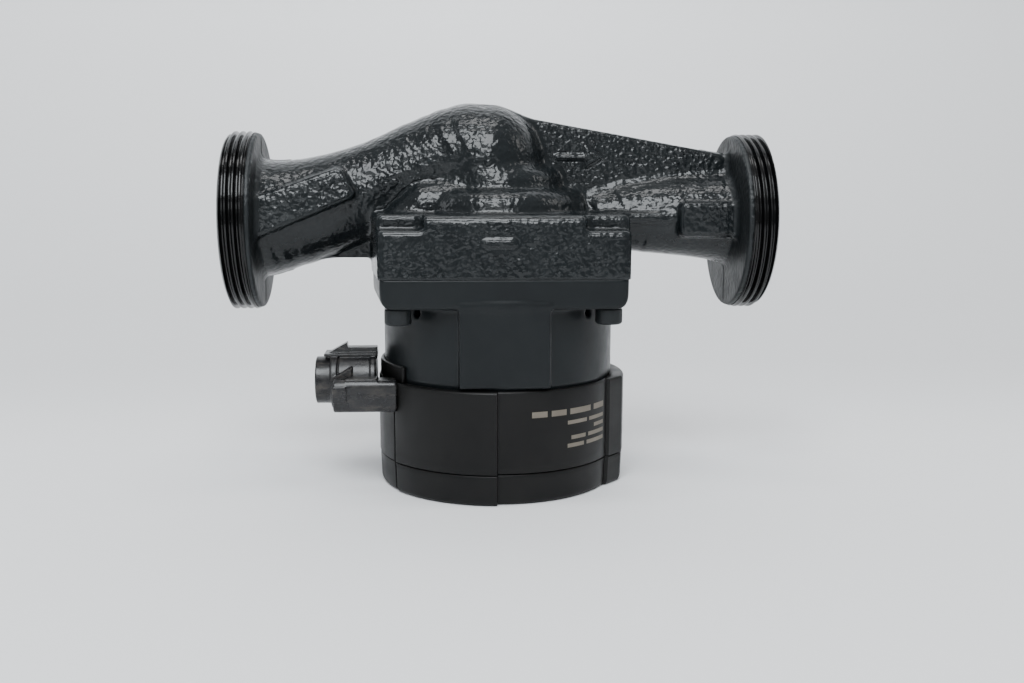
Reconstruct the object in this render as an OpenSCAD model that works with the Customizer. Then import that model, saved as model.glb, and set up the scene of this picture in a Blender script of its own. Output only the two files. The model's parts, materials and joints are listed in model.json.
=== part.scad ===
// In-line wet-rotor circulator pump with two threaded ports.
// The pump stands on its control face: origin on the motor axis at that face, +Z up, +X to the outlet.

/* [Ports] */
// Distance between the two gasket faces
port_span = 180; // [176:1:190]
// Height of the port axis above the control face
port_z = 89.4; // [88:0.2:91]
// Radius over the thread crests of a port, for a G 2 union nut
thread_r = 29.807; // [29.6:0.001:30]
// Pitch of the port thread
thread_pitch = 2.309; // [2.2:0.001:2.4]
// Number of full thread crests on a port
thread_turns = 4; // [3:1:4]
// Thickness of a threaded port flange
flange_t = 10.2; // [10:0.1:12]
// Radius of the bore at a port mouth
mouth_r = 16; // [15:0.1:16.5]

/* [Casting] */
// Half width of the square volute block at its front edge
block_w = 39.3; // [38:0.1:40]
// Half width of the block at its parting plane, where the sides bulge
block_bulge = 43.5; // [42:0.1:44]
// Half depth of the block, front to back
block_d = 40; // [39:0.1:40.5]
// Height where the casting meets the motor flange
joint_z = 72.6; // [72:0.1:73]
// Height of the top of the volute block
block_top = 92.6; // [92:0.1:93]
// Height of the notched corners of the block
notch_z = 87.8; // [87:0.1:89]
// Radius of the lower dome step
dome_r = 29.8; // [29:0.1:31]
// Height of the top of the lower dome step
dome_z = 100.2; // [99:0.1:101]
// Radius of the upper dome step
neck_step_r = 20.6; // [20:0.1:22]
// Height of the top of the upper dome step
neck_step_z = 107.3; // [106:0.1:108]
// Outer radius of the suction pipe
suction_r = 18; // [17.6:0.1:18.6]
// Inner radius of the suction pipe
suction_bore = 14; // [13:0.1:14.4]
// Outer radius of the outlet pipe at its port
outlet_r = 14.2; // [13.5:0.1:15]
// Thickness of the cast webs
web_t = 5; // [4:0.1:6]

/* [Motor] */
// Thickness of the square motor flange
plate_t = 9.7; // [9:0.1:10]
// Radius of the cylindrical motor shell
shell_r = 38.9; // [38.5:0.1:39]
// Half spacing of the four flange screws
screw_pos = 33.6; // [33:0.1:34]
// Outer radius of the stator core
stator_r = 34.6; // [34:0.1:34.8]
// Inner radius of the stator core
stator_bore = 22; // [22:0.1:23]
// Number of stator teeth and coils
teeth = 6; // [6:3:6]
// Height of the bottom of the lamination stacks
stack_z = 41; // [41:0.5:42]
// Height of the lamination stacks
stack_h = 20; // [18:0.5:21]

/* [Rotor] */
// Radius of the shaft
shaft_r = 4; // [3.5:0.1:4.2]
// Radius of the rotor with its sleeve
rotor_r = 20.9; // [20:0.1:21]
// Number of rotor magnets
magnets = 4; // [4:2:6]
// Radius of the impeller
impeller_r = 28; // [26:0.5:30]
// Number of impeller blades
blades = 7; // [5:1:7]
// Radial running clearance of the shaft in its bearings
running_gap = 0.03; // [0.02:0.01:0.05]

/* [Control box] */
// Height of the top edge of the control box
box_top = 37.2; // [37:0.1:38]
// Height of the seam between the box and its cover
seam_z = 10.4; // [10:0.1:11]
// Radius of the plain sectors of the box
box_r = 40.3; // [40.2:0.1:40.6]
// Radius of the two raised grip sectors
grip_r = 41.9; // [41.5:0.1:42]
// Radius of the side lug
lug_r = 44; // [43:0.1:44.5]
// Half width of the side lug at its foot
lug_w = 19; // [18:0.1:20]
// Wall thickness of the box and the cover
wall = 2.2; // [2:0.1:2.4]

/* [Connectors] */
// Distance of the power inlet's axis in front of the motor axis
inlet_y = -8; // [-8.2:0.1:-7]
// Height of the power inlet's axis
inlet_z = 35.8; // [35.6:0.1:36.4]
// Radius of the power inlet's barrel
barrel_r = 7.8; // [7.5:0.1:8]
// Radius of the power inlet's body
inlet_r = 9.3; // [9:0.1:9.5]
// Distance of the barrel's mouth from the motor axis
inlet_reach = 61.5; // [61:0.1:63]

/* [Hidden] */
$fn = 96;
corners = [[1, 1], [1, -1], [-1, 1], [-1, -1]];
plate_z = joint_z - plate_t;
eye_r = 13.2;
outlet_bore = 10.4;
suction_knee = [-56, 0, 93.2];
suction_crown = [-11, 0, 110.5];
suction_eye = [-2, 0, 106.6];
groove_depth = 1.479;
crest_w = 0.5;
chamber_r = 33.5;
chamber_z0 = joint_z - 0.1;
chamber_z1 = 88.6;
imp_z0 = 76.2;
imp_z1 = 86.6;
can_r = 21.5;
can_z0 = 30.65;
lug_x = 36.8;
floor_z = 34.4;
floor_t = 2.2;
ledge_z = 69.4;
flange_r = 36.5;
ear_z = 28;
ear_r = 27;
pcb_z = 17;
face_z = 1.2;

// Turns a shape drawn along +Z so that it runs along +X.
module along_x() rotate([0, 90, 0]) children();

module tube(r_out, r_in, h) difference() {
    cylinder(r = r_out, h = h);
    translate([0, 0, -1]) cylinder(r = r_in, h = h + 2);
}

module ring_of(count, offset_deg = 0)
    for (i = [0 : count - 1]) rotate([0, 0, offset_deg + i * 360 / count]) children();

module at_corners(half) for (c = corners) translate([c[0] * half, c[1] * half, 0]) children();

// Wedge of a disc from angle a0 to angle a1, under 180 degrees.
module sector_2d(r, a0, a1) intersection() {
    circle(r = r);
    polygon([[0, 0], for (i = [0 : 4]) let (a = a0 + i * (a1 - a0) / 4) 2 * r * [cos(a), sin(a)]]);
}

// ---- casting ----

function thread_profile() = let (face = flange_t, first = face - 1.5)
    [[0, 0], [thread_r - 0.5, 0], [thread_r - 0.1, 0.4],
    for (i = [thread_turns - 1 : -1 : 0]) let (c = first - i * thread_pitch)
        each [[thread_r - groove_depth, c - thread_pitch / 2 - 0.15],
            [thread_r - groove_depth, c - thread_pitch / 2 + 0.15],
            [thread_r, c - crest_w / 2], [thread_r, c + crest_w / 2]],
    [thread_r - groove_depth, face - 0.3], [thread_r - groove_depth - 0.3, face], [0, face]];

// side is -1 for the inlet and 1 for the outlet.
module threaded_end(side) translate([side * (port_span / 2 - flange_t), 0, port_z])
    rotate([0, side * 90, 0]) rotate_extrude() polygon(thread_profile());

// Ball built of flat-ended cone rings, with its poles along Y.
module ball(r, step = 12) {
    tilts = [step / 2 - 90 : step : 90 - step / 2];
    end = r * sin(90 - step / 2);
    rotate([90, 0, 0]) rotate_extrude()
        polygon([[0, -end], for (a = tilts) r * [cos(a), sin(a)], [0, end]]);
}

// Straight round bar between two points.
module rod(p, q, r) translate(p) let (d = q - p)
    rotate([0, acos(d[2] / norm(d)), atan2(d[1], d[0])]) rotate([0, 0, 90]) cylinder(r = r, h = norm(d));

// Pipe from the inlet port up its slope to the crown, and over it towards the eye.
module suction_path(r, start_x) {
    rod([start_x, 0, port_z + 1.2], suction_knee, r);
    translate(suction_knee) ball(r = r + 0.2);
    rod(suction_knee, suction_crown, r);
    translate(suction_crown) ball(r = r + 0.4);
    translate(suction_eye) ball(r = r + 0.9);
}

module block_outline(grow = 0) polygon([
    [-block_w - grow, -block_d], [block_w + grow, -block_d], [block_bulge + grow, 0],
    [block_w + grow, block_d], [-block_w - grow, block_d], [-block_bulge - grow, 0]]);

module volute_block() difference() {
    translate([0, 0, joint_z]) linear_extrude(block_top - joint_z) block_outline();
    for (c = corners) translate([c[0] * 45 - 20, c[1] * 41 - 11, notch_z]) cube([40, 22, 10]);
}

module pump_housing() color("#22282b") difference() {
    union() {
        threaded_end(-1);
        threaded_end(1);
        suction_path(suction_r, -port_span / 2 + flange_t - 1);
        volute_block();
        translate([0, 0, block_top - 1]) cylinder(r = dome_r, h = dome_z - block_top + 1);
        translate([0, 0, block_top - 1]) cylinder(r = neck_step_r, h = neck_step_z - block_top + 1);
        translate([28, 0, port_z]) along_x()
            cylinder(r1 = 9.2, r2 = outlet_r, h = port_span / 2 - flange_t - 27);
        translate([0, web_t / 2, 0]) rotate([90, 0, 0]) linear_extrude(web_t)
            polygon([[-2, 100], [-2, 120], [6, 124.9], [81, 112], [81, 90], [4, 90]]);
        translate([0, web_t / 2, 0]) rotate([90, 0, 0]) linear_extrude(web_t)
            polygon([[-63, 77], [-40, 77], [-40, 92], [-63, 92]]);
        translate([60, -16.5, 84.6]) cube([20.5, 33, 11.6]);
        translate([38, -11.5, 89.2]) cube([24, 23, 3.6]);
        translate([-66, 0, port_z + 2.5]) rotate([0, -16, 0]) translate([-15, -19.8, -6]) cube([30, 8, 12]);
    }
    translate([-port_span / 2 - 1, 0, port_z]) along_x() cylinder(r = mouth_r, h = 12);
    suction_path(suction_bore, -port_span / 2 + 10);
    translate([0, 0, chamber_z1 - 1]) cylinder(r = suction_bore - 0.5, h = suction_eye[2] - chamber_z1 + 1);
    translate([0, 0, chamber_z0]) cylinder(r = chamber_r, h = chamber_z1 - chamber_z0);
    translate([0, 0, chamber_z0]) cylinder(r = 36.3, h = 2.5);
    translate([0, 0, chamber_z1 - 1]) cylinder(r = 16, h = 4);
    translate([24, 0, port_z]) along_x() cylinder(r1 = 6.5, r2 = outlet_bore, h = port_span / 2 - 38);
    translate([port_span / 2 - 15, 0, port_z]) along_x()
        cylinder(r1 = outlet_bore - 0.6, r2 = mouth_r - 0.6, h = 7.5);
    translate([port_span / 2 - 8, 0, port_z]) along_x() cylinder(r = mouth_r, h = 12);
    at_corners(screw_pos) translate([0, 0, joint_z - 1]) cylinder(r = 2.5, h = 12);
}

module wear_ring() color("#b9bcc0") translate([0, 0, chamber_z1 - 1]) tube(16, 15.2, 4);

module housing_gasket() color("#151515") translate([0, 0, joint_z + 1.2]) rotate_extrude()
    translate([35, 0]) circle(r = 1.18, $fn = 24);

// ---- bearing plate and bearings ----

module bearing_plate() color("#c4c6c9") difference() {
    union() {
        translate([0, 0, joint_z - 1.5]) cylinder(r = flange_r, h = 1.5);
        translate([0, 0, 63.5]) cylinder(r = 8.6, h = joint_z - 63.5);
    }
    translate([0, 0, 62]) cylinder(r = 7.2, h = 20);
    ring_of(4, 45) translate([13, 0, joint_z - 5]) cylinder(r = 1.5, h = 8, $fn = 32);
}

module bearing_cushion() color("#1c1c1c") translate([0, 0, 64]) tube(7.2, 6.4, 8.2);

module upper_bearing() color("#e8e4da") translate([0, 0, 64]) tube(6.4, shaft_r + running_gap, 8.4);

module lower_bearing() color("#e8e4da") translate([0, 0, can_z0 + 0.8]) tube(6.4, shaft_r + running_gap, 7);

module thrust_ring() color("#3b3b3d") translate([0, 0, stack_z + stack_h + 0.5]) tube(6.8, shaft_r, 2);

// ---- rotor ----

module rotor_shaft() color("#d9d9dc") difference() {
    translate([0, 0, can_z0 + 1.6]) cylinder(r = shaft_r, h = imp_z1 - can_z0 - 3.6);
    translate([0, 0, can_z0]) cylinder(r = 1, h = imp_z1 - can_z0, $fn = 32);
}

module rotor_core() color("#6d6f72") translate([0, 0, stack_z]) difference() {
    cylinder(r = rotor_r - 0.5, h = stack_h);
    translate([0, 0, -1]) cylinder(r = shaft_r, h = stack_h + 2);
    ring_of(magnets) translate([13.4, -10.4, -1]) cube([3.2, 20.8, stack_h + 2]);
}

module rotor_magnets() color("#8d8f93") ring_of(magnets)
    translate([13.4, -10.4, stack_z + 0.2]) cube([3.2, 20.8, stack_h - 0.4]);

module rotor_sleeve() color("#c9cbce") difference() {
    translate([0, 0, stack_z - 0.5]) cylinder(r = rotor_r, h = stack_h + 1);
    translate([0, 0, stack_z]) cylinder(r = rotor_r - 0.5, h = stack_h);
    translate([0, 0, stack_z - 2]) cylinder(r = shaft_r, h = stack_h + 4);
}

// One backward-swept blade, as an arc wall between the hub and the rim.
module blade_2d() intersection() {
    translate([-4, 17]) difference() {
        circle(r = 18.2);
        circle(r = 17);
    }
    translate([0, -3]) square([impeller_r, 24]);
    circle(r = impeller_r - 0.3);
    difference() {
        circle(r = impeller_r);
        circle(r = 11.5);
    }
}

module impeller() color("#e3e0d6") difference() {
    union() {
        translate([0, 0, imp_z0]) cylinder(r = impeller_r, h = 1.6);
        translate([0, 0, imp_z0 - 2]) cylinder(r = 7.2, h = 9);
        translate([0, 0, imp_z0 + 1.5]) linear_extrude(5.7) ring_of(blades) blade_2d();
    }
    translate([0, 0, imp_z0 - 3]) cylinder(r = shaft_r, h = 12);
    ring_of(4) translate([9, 0, imp_z0 - 1]) cylinder(r = 0.9, h = 4, $fn = 32);
}

module impeller_front_shroud() color("#dcd9cf") translate([0, 0, imp_z0 + 7.2]) difference() {
    union() {
        cylinder(r = impeller_r, h = 1.4);
        cylinder(r = 14.9, h = 6.6);
    }
    translate([0, 0, -1]) cylinder(r = eye_r, h = 10);
}

module impeller_lock_ring() color("#b5b7ba") translate([0, 0, imp_z0 + 7]) tube(6.4, shaft_r, 1.2);

// ---- can and stator ----

module rotor_can() color("#c6c8cb") difference() {
    union() {
        translate([0, 0, can_z0 + 6]) cylinder(r = can_r + 0.4, h = joint_z - 1.9 - can_z0 - 6);
        translate([0, 0, can_z0]) cylinder(r = 8, h = 7);
        translate([0, 0, joint_z - 2.3]) cylinder(r = flange_r, h = 0.8);
    }
    translate([0, 0, can_z0 + 7.6]) cylinder(r = can_r, h = 60);
    translate([0, 0, can_z0 + 0.8]) cylinder(r = 6.4, h = 10);
}

module can_seal() color("#171717") translate([0, 0, ledge_z]) tube(36.3, 34.9, joint_z - 2.3 - ledge_z);

module tooth_2d() {
    translate([24, -4]) square([8, 8]);
    intersection() {
        difference() {
            circle(r = 25);
            circle(r = stator_bore);
        }
        polygon([[0, 0], [30, -14], [30, 14]]);
    }
}

module stator_core() color("#7b7d80") translate([0, 0, stack_z]) linear_extrude(stack_h) {
    difference() {
        circle(r = stator_r);
        circle(r = 31);
    }
    ring_of(teeth) tooth_2d();
}

module tooth_frame(x0, x1, in_y, out_y, in_z, out_z)
    translate([x0, 0, stack_z + stack_h / 2]) difference() {
        translate([0, -out_y, -stack_h / 2 - out_z]) cube([x1 - x0, 2 * out_y, stack_h + 2 * out_z]);
        translate([-1, -in_y, -stack_h / 2 - in_z]) cube([x1 - x0 + 2, 2 * in_y, stack_h + 2 * in_z]);
    }

module stator_insulators() color("#d8d3c4") ring_of(teeth) tooth_frame(25.4, 30, 4, 4.9, 0, 0.9);

module stator_coils() color("#b4632c") ring_of(teeth) tooth_frame(25.8, 29.6, 4.9, 8.2, 0.9, 3.6);

// ---- motor housing ----

module flat_pad() translate([-14, 0, box_top + 0.8]) cube([28, block_d - 0.2, plate_z - box_top]);

module motor_housing() color("#25282a") difference() {
    union() {
        translate([0, 0, plate_z]) linear_extrude(plate_t) block_outline(-0.2);
        translate([0, 0, floor_z]) cylinder(r = shell_r, h = plate_z - floor_z + 1);
        translate([0, 0, ear_z - 2]) cylinder(r = 12, h = floor_z - ear_z + 3);
        translate([-7.5, -27.5, ear_z]) cube([15, 17, floor_z - ear_z + 1]);
        ring_of(3, 60) translate([ear_r, 0, ear_z + 2]) cylinder(r = 4, h = floor_z - ear_z - 1);
        flat_pad();
        rotate([0, 0, 180]) flat_pad();
    }
    translate([0, 0, floor_z + floor_t]) cylinder(r = stator_r, h = plate_z - floor_z);
    translate([0, 0, plate_z - 2]) cylinder(r = stator_r, h = 20);
    translate([0, 0, ledge_z]) cylinder(r = flange_r + 0.1, h = 5);
    translate([0, 0, ear_z - 3]) cylinder(r = 8.2, h = 15);
    at_corners(screw_pos) translate([0, 0, plate_z - 1]) cylinder(r = 2.75, h = plate_t + 2);
    ring_of(3, 60) translate([ear_r, 0, ear_z + 1]) cylinder(r = 1.5, h = 6.6, $fn = 32);
    ring_of(3) translate([28, 0, floor_z - 3]) cylinder(r = 1.1, h = 8, $fn = 32);
}

// Socket-head cap screw pointing up, with the underside of its head at z 0.
module cap_screw(r, length, head_r, head_h, socket_r) {
    difference() {
        translate([0, 0, -head_h]) cylinder(r = head_r, h = head_h);
        translate([0, 0, -head_h - 1]) cylinder(r = socket_r, h = head_h * 0.55 + 1, $fn = 6);
    }
    cylinder(r = r, h = length);
}

module flange_screws() color("#2a2d2f") at_corners(screw_pos) translate([0, 0, plate_z])
    cap_screw(2.45, plate_t + 10, 4.25, 5, 2.3);

// ---- control box ----

// Plan outline of the box: plain circle, two grip sectors and the side lug.
module box_outline(grow = 0) {
    w = lug_w + grow;
    x = lug_x + grow;
    circle(r = box_r + grow);
    for (side = [0, 1]) mirror([0, side]) sector_2d(grip_r + grow, 94 - grow, 147 + grow);
    intersection() {
        circle(r = lug_r + grow);
        polygon([[28, -w], [x, -w], [50, -5.5], [50, 5.5], [x, w], [28, w]]);
    }
}

// Snap lug of the cover, or with a clearance its pocket in the box.
module snap_lugs(gap = 0) ring_of(4, 45)
    translate([37.2, -4 - gap, seam_z + 0.6 - gap]) cube([1.3 + gap, 8 + 2 * gap, 1 + 2 * gap]);

module control_box() color("#1b1c1d") difference() {
    union() {
        difference() {
            translate([0, 0, seam_z]) linear_extrude(box_top - seam_z) box_outline();
            translate([0, 0, seam_z - 1]) cylinder(r = box_r - wall, h = 4.2);
            translate([0, 0, seam_z]) cylinder(r = box_r - wall - 1.6, h = 30);
        }
        translate([0, 0, box_top - 1]) linear_extrude(7) difference() {
            sector_2d(41.2, -218, -141);
            circle(r = shell_r + 0.1);
        }
        ring_of(3, 60) {
            translate([23, -4, ear_z]) cube([15, 8, 2]);
            translate([32.2, 0, pcb_z + 1.6]) cylinder(r = 2, h = ear_z - pcb_z - 1, $fn = 32);
        }
    }
    translate([0, 0, floor_z - 0.1]) cylinder(r = shell_r + 0.1, h = 20);
    ring_of(3, 60) translate([ear_r, 0, ear_z - 1]) cylinder(r = 1.5, h = 4, $fn = 32);
    power_foot(0.05);
    signal_foot(0.05);
    snap_lugs(0.15);
}

module box_screws() color("#9fa2a6") ring_of(3, 60) translate([ear_r, 0, ear_z])
    cap_screw(1.45, 7, 2.6, 2, 1.2);

module control_cover() color("#1b1c1d") difference() {
    union() {
        translate([0, 0, 1]) linear_extrude(seam_z - 1.3) box_outline(-0.2);
        linear_extrude(1.2) box_outline(-1);
        translate([0, 0, seam_z - 1]) tube(box_r - wall - 0.1, box_r - wall - 1.9, 3);
        snap_lugs();
    }
    translate([0, 0, 3.4]) cylinder(r = box_r - wall - 1.9, h = 12);
    translate([0, 0, -1]) cylinder(r = 33, h = 1 + face_z);
    cylinder(r = 4.3, h = 8, $fn = 48);
    translate([-16, 9, -1]) cube([32, 7, 8]);
}

module cover_gasket() color("#1f1f1f") translate([0, 0, seam_z + 2]) tube(38, 36.6, 1.2);

module face_panel() color("#3a3d40") translate([0, 0, face_z - 0.5]) difference() {
    cylinder(r = 32.8, h = 0.5);
    translate([0, 0, -1]) cylinder(r = 4.8, h = 3);
    translate([-16, 9, -1]) cube([32, 7, 3]);
}

module light_guide() color("#c8ccd0") {
    translate([-15.9, 9.1, face_z - 0.3]) cube([31.8, 6.8, 3]);
    translate([-17.5, 7.5, 3.4]) cube([35, 10, 1.2]);
}

module status_leds() color("#d8d8c0") for (x = [-12 : 6 : 12])
    translate([x - 1, 11.5, pcb_z - 0.8]) cube([2, 2, 0.8]);

module mode_button() color("#4c5054") {
    translate([0, 0, 0.5]) cylinder(r = 4, h = 11.8);
    translate([0, 0, 3.5]) cylinder(r = 6, h = 1.2);
}

module switch_plunger() color("#c9c3b0") translate([0, 0, 12.3]) cylinder(r = 1.7, h = 2.7, $fn = 32);

module mode_switch() color("#2b2b2b") difference() {
    translate([-3, -3, pcb_z - 3]) cube([6, 6, 3]);
    translate([0, 0, pcb_z - 4]) cylinder(r = 1.8, h = 3.1, $fn = 32);
}

module circuit_board() color("#1f6b3a") difference() {
    translate([0, 0, pcb_z]) cylinder(r = 33.5, h = 1.6);
    ring_of(3) translate([28, 0, pcb_z - 1]) cylinder(r = 0.7, h = 4, $fn = 32);
    power_contacts();
    signal_contacts();
}

module phase_pins() color("#c9a24a") ring_of(3) translate([28, 0, pcb_z - 1])
    cylinder(r = 0.7, h = stack_z - 3.6 - pcb_z + 1, $fn = 32);

module thermal_pad() color("#8f9aa3") translate([-7.2, -27, 26.6]) cube([14.4, 13, ear_z - 26.6]);

module power_module() color("#2c2c2e") translate([-7.2, -27, pcb_z + 1.6]) cube([14.4, 13, 8]);

module storage_capacitors() color("#3b3f52") for (x = [-5.3, 5.3])
    translate([x, 24, pcb_z + 1.6]) cylinder(r = 5, h = 8);

module line_choke() color("#a8672f") translate([18.5, 0, pcb_z + 1.6]) tube(7, 3, 6);

// ---- connectors ----

// Ramp with its steep face towards the pump, as a length along X.
module barb(length, height, width) rotate([90, 0, 0]) translate([0, 0, -width / 2]) linear_extrude(width)
    polygon([[-length, 0], [0, height], [0, 0]]);

// Bent contact: a pin of radius r in the socket, then a flat strip down to the circuit board.
module contact(x0, x1, x2, y, z, lane_z, r) {
    translate([x0, y, z]) along_x() cylinder(r = r, h = x1 - x0, $fn = 32);
    translate([x1 - 0.4, y - r, lane_z]) cube([0.8, 2 * r, z - lane_z + r]);
    translate([x1 - 0.4, y - r, lane_z]) cube([x2 - x1 + 0.8, 2 * r, 0.8]);
    translate([x2 - 0.4, y - r, pcb_z - 0.6]) cube([0.8, 2 * r, lane_z - pcb_z + 1.4]);
}

module foot(x0, x1, y, width, gap) translate([x0, y - width / 2 - gap, 29.6 - gap])
    cube([x1 - x0 + gap, width + 2 * gap, 4.4 + 2 * gap]);

module power_foot(gap = 0) foot(-45, -33.5, inlet_y, 11, gap);

module signal_foot(gap = 0) foot(-42, -28.5, -19.9, 4.2, gap);

module power_contacts() color("#c7a85a") for (p = [[-3.2, -2.2], [0, 3], [3.2, -2.2]])
    contact(-56, -44.4, -29, inlet_y + p[0], inlet_z - 1 + p[1], 31.4, 0.8);

module signal_contacts() color("#c7a85a") for (y = [-21.6, -19.2])
    contact(-50, -42.6, -24, y, 33.4, 31.4, 0.4);

module power_inlet() color("#1c1d1f") difference() {
    union() {
        translate([-inlet_reach, inlet_y, inlet_z]) along_x() cylinder(r = barrel_r, h = 8);
        translate([-57.4, inlet_y, inlet_z]) along_x() cylinder(r = inlet_r, h = 3);
        translate([-55, inlet_y, inlet_z]) along_x() cylinder(r = inlet_r - 0.4, h = 10.6);
        translate([-45, inlet_y, inlet_z]) along_x() cylinder(r = inlet_r, h = 3);
        translate([-52.2, inlet_y - 3.5, inlet_z + inlet_r - 2]) cube([10.4, 7, 4.8]);
        translate([-52.2, inlet_y, inlet_z + inlet_r - 1]) barb(8, 5.4, 4);
        translate([-49.6, inlet_y, inlet_z]) rotate([62, 0, 0]) translate([0, 0, inlet_r - 1])
            barb(6.4, 3.6, 4);
        power_foot();
    }
    translate([-inlet_reach - 1, inlet_y, inlet_z]) along_x() cylinder(r = barrel_r - 1.5, h = 16);
    power_contacts();
}

// Rounded bar along X from x0 to x1, spanning y0 to y1 and z0 to z1 with edge radius r.
module rounded_bar(x0, x1, y0, y1, z0, z1, r) hull()
    for (y = [y0 + r, y1 - r], z = [z0 + r, z1 - r]) translate([x0, y, z]) along_x()
        cylinder(r = r, h = x1 - x0, $fn = 32);

module signal_inlet() color("#1c1d1f") difference() {
    union() {
        difference() {
            rounded_bar(-55.5, -36, -25, -17.4, 28, 38.8, 2.4);
            translate([0, 0, seam_z]) linear_extrude(box_top) box_outline(0.05);
            translate([0, 0, box_top - 1.5]) cylinder(r = 41.3, h = 8);
        }
        translate([-55.6, -25.4, 31.2]) cube([4.4, 3, 5]);
        signal_foot();
    }
    translate([-57, -23.7, 30.2]) cube([13, 5.6, 6.6]);
    signal_contacts();
}

pump_housing();
wear_ring();
housing_gasket();
bearing_plate();
upper_bearing();
bearing_cushion();
impeller();
impeller_front_shroud();
impeller_lock_ring();
rotor_shaft();
rotor_core();
rotor_magnets();
rotor_sleeve();
thrust_ring();
lower_bearing();
rotor_can();
can_seal();
stator_core();
stator_insulators();
stator_coils();
motor_housing();
flange_screws();
control_box();
box_screws();
control_cover();
cover_gasket();
circuit_board();
phase_pins();
thermal_pad();
power_module();
storage_capacitors();
line_choke();
mode_switch();
switch_plunger();
status_leds();
light_guide();
face_panel();
mode_button();
power_inlet();
power_contacts();
signal_inlet();
signal_contacts();
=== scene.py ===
"""Looks of the circulator pump: castings, threads, moulded parts, materials, light and camera."""
import json
import math

import bpy
import numpy as np
from mathutils import Matrix, Vector, noise


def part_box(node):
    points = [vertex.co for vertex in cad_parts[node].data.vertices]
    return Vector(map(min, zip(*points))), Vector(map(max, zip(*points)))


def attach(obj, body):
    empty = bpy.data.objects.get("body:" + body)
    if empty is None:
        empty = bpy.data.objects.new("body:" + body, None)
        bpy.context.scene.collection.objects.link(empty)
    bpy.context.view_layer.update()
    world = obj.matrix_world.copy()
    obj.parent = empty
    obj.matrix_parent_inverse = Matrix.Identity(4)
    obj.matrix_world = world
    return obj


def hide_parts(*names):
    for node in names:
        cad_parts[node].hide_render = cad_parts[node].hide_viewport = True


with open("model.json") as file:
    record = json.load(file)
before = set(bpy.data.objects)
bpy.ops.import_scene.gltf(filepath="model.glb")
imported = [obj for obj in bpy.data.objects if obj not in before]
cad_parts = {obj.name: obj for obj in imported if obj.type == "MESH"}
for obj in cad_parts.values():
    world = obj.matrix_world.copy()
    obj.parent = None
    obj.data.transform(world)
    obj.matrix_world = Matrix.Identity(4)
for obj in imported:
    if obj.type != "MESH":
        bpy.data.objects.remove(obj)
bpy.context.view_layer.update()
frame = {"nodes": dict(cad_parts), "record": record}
MM = 0.001

# ---------------------------------------------------------------- sizes from the frame, in millimetres


def node_box(node):
    """Lowest and highest corner of a CAD node, in millimetres."""
    low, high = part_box(node)
    return low / MM, high / MM


mounts = {m["name"]: m for m in frame["record"]["mounts"]}
PORT_X = node_box("pump_housing")[1].x
PORT_Z = mounts["inlet_bore"]["pos_m"][2] / MM
THREAD_R = mounts["outlet_thread"]["dims"]["r_mm"]
MOUTH_R = mounts["inlet_bore"]["dims"]["r_mm"]
JOINT_Z = node_box("motor_housing")[1].z
BLOCK_D = node_box("pump_housing")[1].y
BOX_HIGH = node_box("control_box")[1]
SCREW_LOW, SCREW_HIGH = node_box("flange_screws")
CAVITY_R = node_box("stator_core")[1].x
SHELL_R = 38.9
BOX_R = 40.3
PLATE_Z = SCREW_LOW.z + 5.0
BOX_TOP = BOX_HIGH.z - 6.0
COVER_TOP = 10.1
SEAM_Z = 10.4
FLANGE_T = 10.2
SCREW_AT = 33.6

# ---------------------------------------------------------------- distance fields


def smooth_min(a, b, k):
    """The nearer of two fields, with the joint between them filleted over k."""
    h = np.clip(0.5 + 0.5 * (b - a) / k, 0, 1)
    return b + (a - b) * h - k * h * (1 - h)


def smooth_max(a, b, k):
    return -smooth_min(-a, -b, k)


def common(parts, k):
    """What all the parts share, with edges rounded over k."""
    field = parts[0]
    for part in parts[1:]:
        field = smooth_max(field, part, k)
    return field


def between(v, low, high):
    """Below zero where v lies between low and high."""
    return abs(v - (low + high) / 2) - (high - low) / 2


def radial(a, b, centre_a=0.0, centre_b=0.0):
    """Distance from an axis."""
    return np.sqrt((a - centre_a) ** 2 + (b - centre_b) ** 2)


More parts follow.
